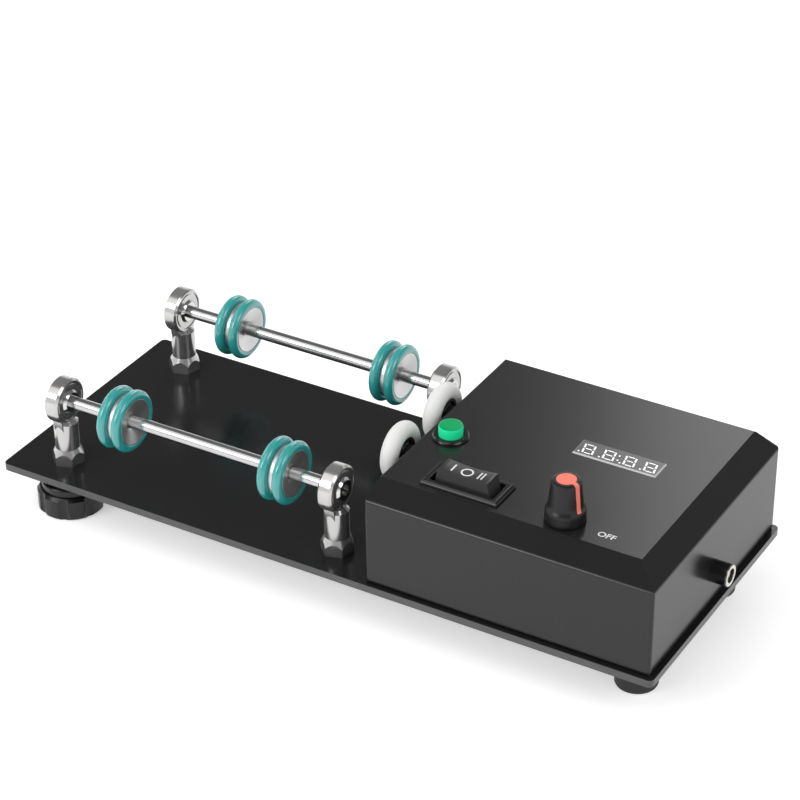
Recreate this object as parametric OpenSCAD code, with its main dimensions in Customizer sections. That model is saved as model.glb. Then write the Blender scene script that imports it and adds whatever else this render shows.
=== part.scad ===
// Film tank rotation base. A sheet base plate stands on two levelling knobs and two rubber
// feet. Two idler shafts turn in rod ends, and a gear motor in the control case turns two
// drive wheels. X runs along the plate, Z is up, and the origin is on the floor under the
// middle of the part. Millimetres.

/* [Base plate] */
// Length of the plate
plate_l = 275; // [265:1:330]
// Width of the plate
plate_w = 108; // [106:1:130]
// Thickness of the plate
plate_t = 3; // [2:0.5:5]
// Corner radius of the plate
plate_corner_r = 2; // [1:0.5:5]
// Height of the plate's underside above the floor
stand_h = 17; // [16:0.5:22]

/* [Rod ends] */
// Left rod ends from the plate's left edge
rod_inset_x = 20.5; // [16:0.5:30]
// Rod ends from the plate's front and back edges
rod_inset_y = 14.5; // [14:0.5:18]
// Right rod ends from the case's left wall
rod_to_case = 19.4; // [18:0.1:26]
// Height of the ball's centre above the plate
rod_centre_h = 27; // [25:0.5:34]
// Diameter of the rod end's head
head_d = 18; // [17:0.5:21]
// Width of the head along the shaft
head_w = 6; // [5:0.5:7]
// Diameter of the swivel ball
ball_d = 11.1; // [10:0.1:12]
// Width of the ball across its flats
ball_w = 8; // [7:0.5:9]
// Diameter of the round neck
neck_d = 9.5; // [8:0.5:10]
// Hexagon of the rod end, across flats
rod_hex_af = 11; // [10:0.5:12]
// Height of the hexagon
rod_hex_h = 6.5; // [4:0.5:9]
// How far the neck flares out to each side below the head
flare_out = 0.6; // [0.4:0.1:1.5]
// Diameter of the threaded stud in the rod end
stud_d = 5; // [4:0.5:6]
// Depth of the rod end's thread
stud_depth = 12; // [8:0.5:14]

/* [Idler rollers] */
// Diameter of the idler shafts
idler_d = 5; // [4:0.5:6]
// Left rollers from the left rod ends
roller_from_left = 27.9; // [20:0.1:35]
// Right rollers from the right rod ends
roller_from_right = 22; // [16:0.1:30]
// Outside diameter of the roller hub
roller_d = 19.4; // [17:0.2:22]
// Width of the roller hub
roller_w = 10; // [9:0.5:14]
// Depth of the dished ends of the hub
roller_dish = 2; // [1:0.5:3]
// Thickness of the O-ring cord
ring_cord_d = 4; // [3:0.1:4.2]
// How far the O-ring stands out of the hub
ring_proud = 2.4; // [2:0.1:2.8]
// Distance between the two O-rings of a hub
ring_pitch = 6.4; // [5.6:0.1:7]

/* [Drive wheels] */
// Outside diameter of the drive wheels
tyre_d = 23; // [20:0.5:28]
// Width of the round tyre
tyre_w = 6.8; // [5:0.1:8]
// Outside diameter of the wheel hub under the tyre
wheel_hub_d = 12; // [10.5:0.5:13]
// Wheel centre from the case's left wall
wheel_to_case = 6.6; // [6:0.1:9]
// Distance between the two drive shafts
wheel_spacing = 30.9; // [29.5:0.1:34]
// Drive shafts below the top of the case
wheel_drop = 6; // [5.8:0.1:8]
// Diameter of the drive and motor shafts
drive_d = 4; // [3:0.5:4.5]

/* [Gear train] */
// Gap between the motor's gear and the plate
gear_to_plate = 1.5; // [1.3:0.1:2.5]
// Teeth of the gears on the drive shafts
pinion_teeth = 14; // [14:1:15]
// Teeth of the motor's gear
motor_teeth = 56; // [54:1:57]
// Width of the gears
gear_w = 4; // [3:0.5:5]
// Left face of the gears from the case's left wall
gear_from_wall = 17.4; // [17:0.1:18]
// Left face of the motor bracket from the case's left wall
bracket_from_wall = 24.2; // [24:0.1:30]
// Thickness of the motor bracket
bracket_t = 2; // [1.5:0.5:3]

/* [Control case] */
// Length of the case along the plate
case_l = 112.8; // [110:0.1:118]
// Height of the case above the plate
case_h = 39; // [38.5:0.5:44]
// Wall thickness of the case
case_wall = 2; // [1.5:0.1:2.5]
// Gap between the case and the plate's edges
case_inset = 1.8; // [1:0.1:3]
// Run of the front bevel, as a share of the room in front of the rocker
bevel_share = 0.806; // [0.7:0.002:0.85]
// Run of the bevel along the right of the top
bevel_right = 10; // [8:0.5:12]
// Drop of both bevels
bevel_drop = 4; // [3:0.5:6]
// Radius of the case's outer edges
case_edge_r = 1.2; // [0.6:0.1:2]
// Radius of the case's bottom edges
case_foot_r = 1.3; // [1:0.1:3]

/* [Start button] */
// Button from the case's left wall
button_x = 9; // [8.8:0.1:10]
// Button in front of the case's middle line
button_front = 6; // [5.9:0.1:6.1]
// Diameter of the button's bezel
button_bezel_d = 13.8; // [13:0.2:15]
// Diameter of the green cap
button_cap_d = 9.1; // [8:0.1:9.4]
// Travel of the cap
button_travel = 1.5; // [1:0.1:2]

/* [Rocker switch] */
// Rocker switch from the case's left wall
rocker_x = 30; // [29:0.5:34]
// Gap between the rocker's body and the motor bracket
rocker_gap = 3.1; // [2.8:0.1:4]
// Length of the rocker's bezel
rocker_l = 31; // [30.6:0.1:33]
// Width of the rocker's bezel
rocker_w = 14.5; // [14:0.1:15]
// Height of the rocker above the panel
rocker_rise = 6.2; // [5:0.1:7]

/* [Speed control] */
// Knob from the case's left wall
knob_x = 69.3; // [68:0.1:78]
// Gap between the front bevel and the knob's skirt
knob_gap = 1.1; // [0.8:0.1:2.5]
// Diameter of the knob's skirt
knob_d = 14.8; // [14.4:0.1:16]
// Height of the knob
knob_h = 16; // [15:0.5:18]
// Direction of the pointer at the OFF end, in degrees from the right
pointer_angle = -18; // [-40:1:40]

/* [Display] */
// Display from the case's left wall
display_x = 68.4; // [68:0.1:70]
// Display behind the case's middle line
display_back = 11.1; // [10:0.1:13]
// Length of the display window
display_l = 33; // [31:0.1:34]
// Width of the display window
display_w = 9.9; // [9:0.1:11]

/* [Power socket] */
// Socket from the case's front wall
socket_y = 50.1; // [44:0.1:56]
// Height of the socket above the plate
socket_h = 14; // [12:0.5:20]
// Diameter of the socket's barrel
socket_d = 8.4; // [8:0.1:9]
// How far the socket stands out of the wall
socket_out = 6.7; // [5:0.1:8]

/* [Feet] */
// Diameter of the levelling knobs
level_d = 26; // [25:0.5:27]
// Height of the fluted part of the levelling knobs
level_h = 9.4; // [8:0.1:10]
// Number of flutes round a levelling knob
flute_count = 8; // [6:1:12]
// Diameter of the rubber feet
rubber_d = 16.6; // [15:0.2:19]
// Rubber feet from the plate's right edge
rubber_inset_x = 15.5; // [14:0.5:22]
// Rubber feet from the plate's front and back edges
rubber_inset_y = 21.5; // [20:0.5:30]

/* [Hidden] */
$fn = 48;

// Extra length of every cut, so that it passes its faces
overrun = 0.5;
// Radial running clearance of a shaft, ball or pin that turns
run_clear = 0.05;
// Radial clearance between pieces that stay together
seat_clear = 0.03;
// Clearance round a piece that slides or stands free
free_clear = 0.3;
// Edge break of turned pieces
small_chamfer = 0.4;
// Points on a rounded corner of an outline
arc_steps = 5;

// Screws that hold the case, the bracket and the board from below
screw_d = 3;
screw_head_d = 5.6;
screw_head_h = 2;
case_screw_reach = 6;
bracket_screw_reach = 3;
board_screw_reach = 4;
motor_screw_reach = 5;

overall_l = plate_l - case_inset + socket_out;
plate_z = stand_h + plate_t;
case_x = plate_l - case_inset - case_l;
case_w = plate_w - 2 * case_inset;
middle_y = plate_w / 2;
rod_x = [rod_inset_x, case_x - rod_to_case];
rod_y = [rod_inset_y, plate_w - rod_inset_y];

roller_x = [rod_x[0] + roller_from_left, rod_x[1] - roller_from_right];
ring_centre_r = roller_d / 2 + ring_proud - ring_cord_d / 2;

wheel_x = case_x - wheel_to_case;
drive_y = [middle_y - wheel_spacing / 2, middle_y + wheel_spacing / 2];
drive_z = case_h - wheel_drop;
bush_wall = 1;
bush_d = drive_d + 2 * bush_wall;
bush_flange_t = 1;
bush_flange_wall = 0.8;
hub_face = 5.4;

// Gear sizes, with a stub addendum so that the small gears need no undercut
pressure_angle = 20;
addendum_share = 0.8;
dedendum_share = 1.05;
backlash = 0.08;
flank_steps = 4;
gear_x = case_x + gear_from_wall;
// Module at which the motor's gear meshes with both small gears and clears the plate
teeth_between = (pinion_teeth + motor_teeth) / 2;
tip_teeth = motor_teeth / 2 + addendum_share;
axis_room = drive_z - gear_to_plate;
module_a = pow(teeth_between, 2) - pow(tip_teeth, 2);
module_b = tip_teeth * axis_room;
module_c = pow(axis_room, 2) + pow(wheel_spacing / 2, 2);
gear_module = (sqrt(pow(module_b, 2) + module_a * module_c) - module_b) / module_a;
pinion_pitch_r = gear_module * pinion_teeth / 2;
motor_pitch_r = gear_module * motor_teeth / 2;
gear_centres = pinion_pitch_r + motor_pitch_r;
motor_z = drive_z - sqrt(pow(gear_centres, 2) - pow(wheel_spacing / 2, 2));
mesh_angle = asin((drive_z - motor_z) / gear_centres);
gear_ratio = motor_teeth / pinion_teeth;
gear_play = 0.4;
gear_rim = 2;
gear_hub_wall = 2.5;
gear_web_t = 2;
gear_hole_count = 5;

// Motor bracket, and the gear motor under the display's board
bracket_x = case_x + bracket_from_wall;
bracket_side = 6.5;
bracket_foot_l = 14;
bracket_screw_y = 18;
display_flange_t = 1;
led_block_h = 3;
led_board_t = 1.2;
led_bottom = case_h - case_wall - display_flange_t - led_block_h - led_board_t;
motor_to_display = 0.5;
gearbox_d = 2 * (led_bottom - motor_z - motor_to_display);
gearbox_l = 19;
motor_step = 0.3;
motor_d = gearbox_d - 2 * motor_step;
motor_l = 31;
motor_boss_share = 0.28;
motor_boss_d = motor_boss_share * gearbox_d;
motor_boss_l = 2.4;
motor_cap_d = 10;
motor_cap_l = 2;
motor_screw_share = 0.68;
motor_screw_gap = motor_screw_share * gearbox_d;
shaft_in_gearbox = 8;
terminal_t = 0.8;
terminal_w = 2.6;
terminal_l = 5;

// Rocker in front of the motor bracket, front bevel in front of the rocker
rocker_rim_x = 3.1;
rocker_rim_y = 2.05;
rocker_body_l = rocker_l - rocker_rim_x;
rocker_body_w = rocker_w - rocker_rim_y;
rocker_pos = [case_x + rocker_x,
    drive_y[0] - bracket_side - rocker_gap - rocker_body_w / 2];
bevel_front = bevel_share * (rocker_pos[1] - rocker_w / 2 - case_inset);

// Case details
boss_d = 7;
boss_inset = 9;
boss_x = [case_x + boss_inset, case_x + case_l - boss_inset];
boss_y = [case_inset + boss_inset, plate_w - case_inset - boss_inset];
bevel_front_angle = atan(bevel_drop / bevel_front);
bevel_right_angle = atan(bevel_drop / bevel_right);

// Start button details
button_pos = [case_x + button_x, middle_y - button_front];
button_bezel_h = 1.3;
button_barrel_d = 11.8;
button_barrel_l = 14;
button_bore_l = 9;
button_cap_rise = 5.2;
button_skirt = 2;
button_stem_d = 2.4;
button_stem_reach = 1.2;
button_stem_end = 0.5;
button_nut_af = 13.4;
button_nut_h = 2.4;
spring_r = 2.5;
spring_wire_r = 0.3;
spring_turns = 5;
spring_steps = 12;
spring_sides = 6;

// Rocker switch details
rocker_bezel_h = 1.8;
rocker_body_wall = 1.2;
rocker_body_h = 14;
rocker_cavity_h = 9;
rocker_pivot_z = -1.5;
rocker_pin_r = 1;
rocker_play = 0.9;
rocker_end_play = 1.5;
rocker_taper = 1.3;
rocker_hollow = 0.9;
rocker_blade_w = 4.8;
rocker_blade_l = 6;
rocker_blade_gap = 9;
rocker_cavity_l = rocker_body_l - 2 * rocker_body_wall;
rocker_cavity_w = rocker_body_w - 2 * rocker_body_wall;
rocker_half = rocker_cavity_l / 2 - rocker_end_play;
rocker_paddle_w = rocker_cavity_w - 2 * rocker_play;

// Speed control details
knob_pos = [case_x + knob_x, case_inset + bevel_front + knob_gap + knob_d / 2];
knob_lift = 0.5;
knob_skirt_h = 4.8;
knob_recess_h = 3.9;
knob_skirt_wall = 1.3;
knob_waist_r = 6.3;
knob_top_r = 5.3;
knob_top_round = 0.9;
pot_shaft_d = 6;
pot_bush_d = 7;
pot_bush_h = 3.4;
pot_nut_af = 10;
pot_nut_h = 2;
pot_body_d = 16;
pot_body_h = 8.5;
pot_shaft_top = 13;
pot_terminal_gap = 5;
pot_terminal_l = 4;
pointer_w = 1.7;
pointer_cap_r = 3.6;
pointer_proud = 0.2;
pointer_depth = 0.6;

// Display details
display_pos = [case_x + display_x, middle_y + display_back];
display_proud = 0.5;
display_flange = 1.5;
led_board_l = 42;
led_board_w = 15;

// Power socket details
socket_flange_d = 10.8;
socket_flange_t = 1.5;
socket_body_l = 9.5;
socket_body_d = 9.2;
socket_bore_d = 5.5;
socket_bore_l = 9;
socket_pin_d = 2.1;
socket_ring_t = 0.5;
socket_ring_wall = 0.35;
socket_pin_recess = 0.8;

// Feet details
collar_d = 22.4;
collar_h = 3.1;
level_hub_d = 18.4;
level_hub_h = 2.3;
level_down = 4;
level_up = 2;
flute_r = 3.2;
flute_depth = 1.1;
jam_nut_af = 8;
jam_nut_h = 2.7;
stud_from_floor = 3.6;
level_bore_floor = 1.2;
rubber_taper = 0.4;
rubber_round = 0.9;
foot_screw_d = 4;
foot_screw_head_d = 7.4;
foot_screw_head_h = 2.4;
foot_counterbore = 8.6;
foot_counterbore_h = 5;
rod_screw_head_h = 3.5;

// Rod end details
flare_drop = 2.5;
rod_hex_turn = 18;
shaft_recess = 1.6;
groove_w = 0.8;
groove_depth = 0.4;

// Controller board details
board_l = 50;
board_w = 22;
board_t = 1.6;
standoff_h = 5;
standoff_af = 5.5;
standoff_bore_top = 0.5;
standoff_peg_h = 1.4;
standoff_barb = 0.4;
board_hole_inset = 3;
board_from_back = 6;
board_right = plate_l - rubber_inset_x - rubber_d / 2 - screw_head_d / 2 - free_clear
    + board_hole_inset;
board_x = [board_right - board_l, board_right];
board_y = [plate_w - case_inset - board_from_back - board_w,
    plate_w - case_inset - board_from_back];
board_places = [for (x = [board_x[0] + board_hole_inset, board_x[1] - board_hole_inset])
    for (y = [board_y[0] + board_hole_inset, board_y[1] - board_hole_inset])
        [x, y, board_screw_reach]];

// Places of the screws from below, each with its reach above the plate
case_places = [for (x = boss_x, y = boss_y) [x, y, case_screw_reach]];
bracket_screw_x = bracket_x + bracket_t + bracket_foot_l / 2;
bracket_places = [for (side = [-1, 1])
    [bracket_screw_x, middle_y + side * bracket_screw_y, bracket_screw_reach]];
underside_places = concat(case_places, bracket_places, board_places);
rubber_y = [rubber_inset_y, plate_w - rubber_inset_y];

// Helpers

// Unit vector along v
function unit(v) = v / norm(v);

// Points of an arc of radius r that rounds the corner b of the path a, b, c
function corner_arc(a, b, c, r) =
    let (
        u = unit(a - b),
        w = unit(c - b),
        half = acos(u * w) / 2,
        centre = b + unit(u + w) * r / sin(half),
        from = b + u * r / tan(half) - centre,
        to = b + w * r / tan(half) - centre,
        start = atan2(from[1], from[0]),
        turn = atan2(to[1], to[0]) - start,
        sweep = turn > 180 ? turn - 360 : turn < -180 ? turn + 360 : turn
    )
    [for (i = [0:arc_steps])
        let (angle = start + sweep * i / arc_steps)
        centre + r * [cos(angle), sin(angle)]];

// Outline through points [x, y, r], with each corner rounded by its own radius r
function rounded(points) =
    let (n = len(points))
    [for (i = [0:n - 1])
        let (
            p = points[i],
            before = points[(i + n - 1) % n],
            after = points[(i + 1) % n]
        )
        each (p[2] > 0
            ? corner_arc([before[0], before[1]], [p[0], p[1]], [after[0], after[1]], p[2])
            : [[p[0], p[1]]])];

// Rectangle centred on the origin with rounded corners
function round_rect(l, w, r) =
    rounded([[-l / 2, -w / 2, r], [l / 2, -w / 2, r], [l / 2, w / 2, r], [-l / 2, w / 2, r]]);

// From the plate's front left corner, on its top face, to the part's frame
module on_plate(x = 0, y = 0, z = 0) {
    translate([x - overall_l / 2, y - plate_w / 2, z + plate_z])
        children();
}

// Turns a piece that is drawn along Z so that it lies along X, with its x towards Y
module along_x() {
    rotate([90, 0, 90])
        children();
}

// Turned piece along Z with broken edges at both ends
module turned_rod(d, l, chamfer = small_chamfer) {
    rotate_extrude()
        polygon([[0, 0], [d / 2 - chamfer, 0], [d / 2, chamfer], [d / 2, l - chamfer],
            [d / 2 - chamfer, l], [0, l]]);
}

// Hexagon prism, size across flats, with its upper corners turned off
module hex_prism(af, h, corner = 0.12) {
    corner_r = af / sqrt(3);
    intersection() {
        cylinder(r = corner_r, h = h, $fn = 6);
        rotate_extrude()
            polygon([[0, 0], [corner_r + overrun, 0],
                [corner_r + overrun, h - (corner_r - af / 2) - overrun],
                [af / 2 * (1 - corner), h], [0, h]]);
    }
}

// Box whose four upper edges are bevelled, centred in x and y
module bevelled_box(l, w, h, bevel) {
    intersection() {
        rotate([90, 0, 0])
            translate([0, 0, -w / 2])
                linear_extrude(w)
                    polygon([[-l / 2, 0], [l / 2, 0], [l / 2, h - bevel], [l / 2 - bevel, h],
                        [bevel - l / 2, h], [-l / 2, h - bevel]]);
        rotate([90, 0, 90])
            translate([0, 0, -l / 2])
                linear_extrude(l)
                    polygon([[-w / 2, 0], [w / 2, 0], [w / 2, h - bevel], [w / 2 - bevel, h],
                        [bevel - w / 2, h], [-w / 2, h - bevel]]);
    }
}

// Box centred in x and y
module plain_box(l, w, h) {
    translate([-l / 2, -w / 2, 0])
        cube([l, w, h]);
}

// Pan head screw: the head's underside is at z = 0 and the shank points up
module pan_screw(d, reach, head_d, head_h) {
    cylinder(d = d, h = reach);
    rotate_extrude()
        polygon([[0, 0], [head_d / 2, 0], [head_d / 2, -head_h / 2], [head_d / 3, -head_h],
            [0, -head_h]]);
}

// Base plate

module plate_hole(x, y, d) {
    translate([x, y, -plate_t - overrun])
        cylinder(d = d + 2 * seat_clear, h = plate_t + 2 * overrun);
}

module base_plate() {
    color("#262628")
        on_plate()
            difference() {
                translate([plate_l / 2, plate_w / 2, -plate_t])
                    linear_extrude(plate_t)
                        polygon(round_rect(plate_l, plate_w, plate_corner_r));
                for (x = rod_x, y = rod_y)
                    plate_hole(x, y, stud_d);
                for (y = rubber_y)
                    plate_hole(plate_l - rubber_inset_x, y, foot_screw_d);
                for (p = underside_places)
                    plate_hole(p[0], p[1], screw_d);
            }
}

// Screws from below that hold the case, the motor bracket and the board's standoffs
module underside_screws() {
    color("#8f9196")
        for (p = underside_places)
            on_plate(p[0], p[1], -plate_t)
                pan_screw(screw_d, plate_t + p[2], screw_head_d, screw_head_h);
}

// Control case

// Outline of the case seen from the front, moved inwards by the wall thickness t
function front_outline(t, edge_r, foot_r) =
    let (
        slope = bevel_drop / bevel_right,
        drop = t / cos(bevel_right_angle),
        x_top = case_l - bevel_right + (t > 0 ? (t - drop) / slope : 0)
    )
    rounded([
        [t, t > 0 ? -overrun : 0, foot_r],
        [t, case_h - t, edge_r / 2],
        [x_top, case_h - t, 0],
        [case_l - t, case_h - (bevel_right - t) * slope - drop, edge_r],
        [case_l - t, t > 0 ? -overrun : 0, foot_r]]);

// Outline of the case seen from the left, moved inwards by the wall thickness t
function side_outline(t, edge_r, foot_r) =
    let (
        slope = bevel_drop / bevel_front,
        drop = t / cos(bevel_front_angle),
        y_top = bevel_front - (t > 0 ? (t - drop) / slope : 0)
    )
    rounded([
        [t, t > 0 ? -overrun : 0, foot_r],
        [t, case_h - (bevel_front - t) * slope - drop, edge_r],
        [y_top, case_h - t, 0],
        [case_w - t, case_h - t, edge_r / 2],
        [case_w - t, t > 0 ? -overrun : 0, foot_r]]);

// Solid that fills the case's outer form, or its hollow when t is the wall thickness
module case_form(t, edge_r, foot_r) {
    intersection() {
        translate([0, case_w, 0])
            rotate([90, 0, 0])
                linear_extrude(case_w)
                    polygon(front_outline(t, edge_r, foot_r));
        along_x()
            linear_extrude(case_l)
                polygon(side_outline(t, edge_r, foot_r));
        translate([case_l / 2, case_w / 2, -overrun])
            linear_extrude(case_h + 2 * overrun)
                polygon(round_rect(case_l - 2 * t, case_w - 2 * t, case_edge_r));
    }
}

module case_bosses() {
    for (p = case_places)
        on_plate(p[0], p[1])
            cylinder(d = boss_d, h = case_h - case_wall);
}

module case_openings() {
    for (y = drive_y)
        on_plate(case_x - overrun, y, drive_z)
            along_x()
                cylinder(d = bush_d + 2 * seat_clear, h = case_wall + 2 * overrun);
    on_plate(button_pos[0], button_pos[1], case_h - case_wall - overrun)
        cylinder(d = button_barrel_d + 2 * seat_clear, h = case_wall + 2 * overrun);
    on_plate(rocker_pos[0], rocker_pos[1], case_h - case_wall - overrun)
        plain_box(rocker_body_l + 2 * seat_clear, rocker_body_w + 2 * seat_clear,
            case_wall + 2 * overrun);
    on_plate(knob_pos[0], knob_pos[1], case_h - case_wall - overrun)
        cylinder(d = pot_bush_d + 2 * seat_clear, h = case_wall + 2 * overrun);
    on_plate(display_pos[0], display_pos[1], case_h - case_wall - overrun)
        plain_box(display_l + 2 * seat_clear, display_w + 2 * seat_clear,
            case_wall + 2 * overrun);
    on_plate(case_x + case_l - case_wall - overrun, case_inset + socket_y, socket_h)
        along_x()
            cylinder(d = socket_d + 2 * seat_clear, h = case_wall + 2 * overrun);
    for (p = case_places)
        on_plate(p[0], p[1], -overrun)
            cylinder(d = screw_d + 2 * seat_clear, h = case_screw_reach + 2 * overrun);
}

// Room that the gears turn in, cut into the roof where it is too low for them
module gear_room() {
    for (gear = [[drive_y[0], drive_z, pinion_teeth], [drive_y[1], drive_z, pinion_teeth],
            [middle_y, motor_z, motor_teeth]])
        on_plate(gear_x - gear_play, gear[0], gear[1])
            along_x()
                cylinder(r = gear_module * (gear[2] / 2 + addendum_share) + gear_play,
                    h = gear_w + 2 * gear_play);
}

module control_case() {
    color("#39393c")
        difference() {
            union() {
                on_plate(case_x, case_inset)
                    difference() {
                        case_form(0, case_edge_r, case_foot_r);
                        case_form(case_wall, 0, 0);
                    }
                case_bosses();
            }
            case_openings();
            gear_room();
        }
}

// Feet

module rubber_foot(y) {
    top_r = rubber_d / 2;
    floor_r = top_r - rubber_taper;
    on_plate(plate_l - rubber_inset_x, y, -plate_z)
        difference() {
            rotate_extrude()
                polygon([[0, 0], [floor_r - rubber_round, 0],
                    [floor_r - rubber_round / 3, rubber_round / 3], [floor_r, rubber_round],
                    [top_r, stand_h], [0, stand_h]]);
            translate([0, 0, -overrun])
                cylinder(d = foot_counterbore, h = foot_counterbore_h + overrun);
            translate([0, 0, -overrun])
                cylinder(d = foot_screw_d + 2 * seat_clear, h = stand_h + 2 * overrun);
        }
}

module front_rubber_foot() {
    color("#55565a")
        rubber_foot(rubber_y[0]);
}

module rear_rubber_foot() {
    color("#55565a")
        rubber_foot(rubber_y[1]);
}

module rubber_foot_screws() {
    color("#8f9196")
        for (y = rubber_y)
            on_plate(plate_l - rubber_inset_x, y, foot_counterbore_h - plate_z)
                pan_screw(foot_screw_d, plate_z - foot_counterbore_h, foot_screw_head_d,
                    foot_screw_head_h);
}

// Fluted knob that screws up and down the stud under a rod end
module levelling_knob(y) {
    hub_top = level_h + collar_h + level_hub_h;
    recess_h = level_up + stand_h - jam_nut_h + free_clear;
    on_plate(rod_x[0], y, -plate_z)
        difference() {
            union() {
                difference() {
                    rotate_extrude()
                        polygon([[0, 0], [level_d / 2 - 2 * small_chamfer, 0],
                            [level_d / 2, 2 * small_chamfer],
                            [level_d / 2, level_h - 3 * small_chamfer],
                            [level_d / 2 - 3 * small_chamfer, level_h], [0, level_h]]);
                    for (i = [0:flute_count - 1])
                        rotate([0, 0, (i + 1 / 2) * 360 / flute_count])
                            translate([level_d / 2 + flute_r - flute_depth, 0, -overrun])
                                cylinder(r = flute_r, h = level_h + 2 * overrun);
                }
                rotate_extrude()
                    polygon([[0, level_h - overrun], [collar_d / 2, level_h - overrun],
                        [collar_d / 2, level_h + collar_h - small_chamfer],
                        [collar_d / 2 - small_chamfer, level_h + collar_h],
                        [level_hub_d / 2, level_h + collar_h],
                        [level_hub_d / 2, hub_top - small_chamfer],
                        [level_hub_d / 2 - small_chamfer, hub_top], [0, hub_top]]);
            }
            translate([0, 0, level_bore_floor])
                cylinder(d = stud_d + 2 * run_clear, h = hub_top);
            translate([0, 0, stand_h - jam_nut_h - level_up - free_clear])
                cylinder(r = jam_nut_af / sqrt(3) + 2 * free_clear, h = recess_h);
        }
}

module front_levelling_knob() {
    color("#202022")
        levelling_knob(rod_y[0]);
}

module rear_levelling_knob() {
    color("#202022")
        levelling_knob(rod_y[1]);
}

// Rod ends and their fasteners

module left_rod_end_studs() {
    color("#9a9ca0")
        for (y = rod_y)
            on_plate(rod_x[0], y, stud_from_floor - plate_z)
                turned_rod(stud_d, plate_z - stud_from_floor + stud_depth - free_clear);
}

module stud_jam_nuts() {
    color("#9a9ca0")
        for (y = rod_y)
            on_plate(rod_x[0], y, -plate_t - jam_nut_h)
                difference() {
                    hex_prism(jam_nut_af, jam_nut_h);
                    translate([0, 0, -overrun])
                        cylinder(d = stud_d + 2 * seat_clear, h = jam_nut_h + 2 * overrun);
                }
}

module right_rod_end_screws() {
    color("#9a9ca0")
        for (y = rod_y)
            on_plate(rod_x[1], y, -plate_t) {
                cylinder(d = stud_d, h = plate_t + stud_depth - free_clear);
                mirror([0, 0, 1])
                    hex_prism(jam_nut_af, rod_screw_head_h);
            }
}

// Head of a rod end: a chamfered ring with a round race and a groove in each face
module rod_head() {
    r = head_d / 2;
    half = head_w / 2;
    edge = 2 * small_chamfer;
    groove_in = (head_d + ball_d) / 4 - groove_w / 2;
    groove_out = groove_in + groove_w;
    bed = half - groove_depth;
    along_x()
        rotate_extrude()
            difference() {
                polygon([[0, -half], [groove_in, -half], [groove_in, -bed],
                    [groove_out, -bed], [groove_out, -half], [r - edge, -half],
                    [r, edge - half], [r, half - edge], [r - edge, half], [groove_out, half],
                    [groove_out, bed], [groove_in, bed], [groove_in, half], [0, half]]);
                circle(d = ball_d + 2 * run_clear);
            }
}

// Housing of a rod end that stands at x, y: hexagon, neck, flare and head with its race
module rod_end(x, y) {
    neck_top = rod_centre_h - head_d / 2 - small_chamfer;
    neck_cone = (neck_d - head_w) / 2 + small_chamfer;
    flare_low = neck_d / 2 - small_chamfer;
    flare_half = neck_d / 2 + flare_out;
    flare_top = rod_centre_h - sqrt(pow(head_d / 2, 2) - pow(flare_half, 2));
    flare_w = head_w - 5 * small_chamfer;
    on_plate(x, y)
        difference() {
            union() {
                intersection() {
                    rotate([0, 0, rod_hex_turn])
                        hex_prism(rod_hex_af, rod_hex_h);
                    cylinder(r1 = (neck_d + rod_hex_h) / 2, r2 = neck_d / 2, h = rod_hex_h);
                }
                cylinder(d = neck_d, h = neck_top);
                translate([0, 0, neck_top])
                    cylinder(d1 = neck_d, d2 = neck_d - 2 * neck_cone, h = neck_cone);
                translate([-flare_w / 2, 0, 0])
                    along_x()
                        linear_extrude(flare_w)
                            polygon([[-flare_low, neck_top - flare_drop],
                                [flare_low, neck_top - flare_drop], [flare_half, flare_top],
                                [-flare_half, flare_top]]);
                translate([0, 0, rod_centre_h])
                    rod_head();
            }
            translate([0, 0, -overrun])
                cylinder(d = stud_d + 2 * seat_clear, h = stud_depth + overrun);
        }
}

module rod_ball(x, y) {
    on_plate(x, y, rod_centre_h)
        along_x()
            rotate_extrude()
                intersection() {
                    circle(d = ball_d);
                    translate([idler_d / 2 + seat_clear, -ball_w / 2])
                        square([ball_d, ball_w]);
                }
}

module front_left_rod_end() {
    color("#b9bbbe")
        rod_end(rod_x[0], rod_y[0]);
}

module front_right_rod_end() {
    color("#b9bbbe")
        rod_end(rod_x[1], rod_y[0]);
}

module rear_left_rod_end() {
    color("#b9bbbe")
        rod_end(rod_x[0], rod_y[1]);
}

module rear_right_rod_end() {
    color("#b9bbbe")
        rod_end(rod_x[1], rod_y[1]);
}

module front_left_ball() {
    color("#d8dadd")
        rod_ball(rod_x[0], rod_y[0]);
}

module front_right_ball() {
    color("#d8dadd")
        rod_ball(rod_x[1], rod_y[0]);
}

module rear_left_ball() {
    color("#d8dadd")
        rod_ball(rod_x[0], rod_y[1]);
}

module rear_right_ball() {
    color("#d8dadd")
        rod_ball(rod_x[1], rod_y[1]);
}

// Idlers

// Shaft from inside the left ball's outer face to just past the right ball's middle
module idler_shaft(y) {
    from = rod_x[0] - ball_w / 2 + shaft_recess;
    to = rod_x[1] + ball_w / 8;
    on_plate(from, y, rod_centre_h)
        along_x()
            turned_rod(idler_d, to - from);
}

// Hub with two round grooves for the O-rings and dished ends
module roller_hub(x, y) {
    r = roller_d / 2;
    half = roller_w / 2;
    lip = 0.5;
    on_plate(x, y, rod_centre_h)
        along_x()
            rotate_extrude()
                difference() {
                    polygon([
                        [idler_d / 2 + seat_clear, roller_dish - half],
                        [r - 2 * lip, -half],
                        [r - lip / 2, -half],
                        [r, lip / 2 - half],
                        [r, half - lip / 2],
                        [r - lip / 2, half],
                        [r - 2 * lip, half],
                        [idler_d / 2 + seat_clear, half - roller_dish]]);
                    for (side = [-1, 1])
                        translate([ring_centre_r, side * ring_pitch / 2])
                            circle(r = ring_cord_d / 2 + seat_clear);
                }
}

module roller_rings(x, y) {
    for (side = [-1, 1])
        on_plate(x + side * ring_pitch / 2, y, rod_centre_h)
            along_x()
                rotate_extrude()
                    translate([ring_centre_r, 0])
                        circle(d = ring_cord_d);
}

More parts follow.
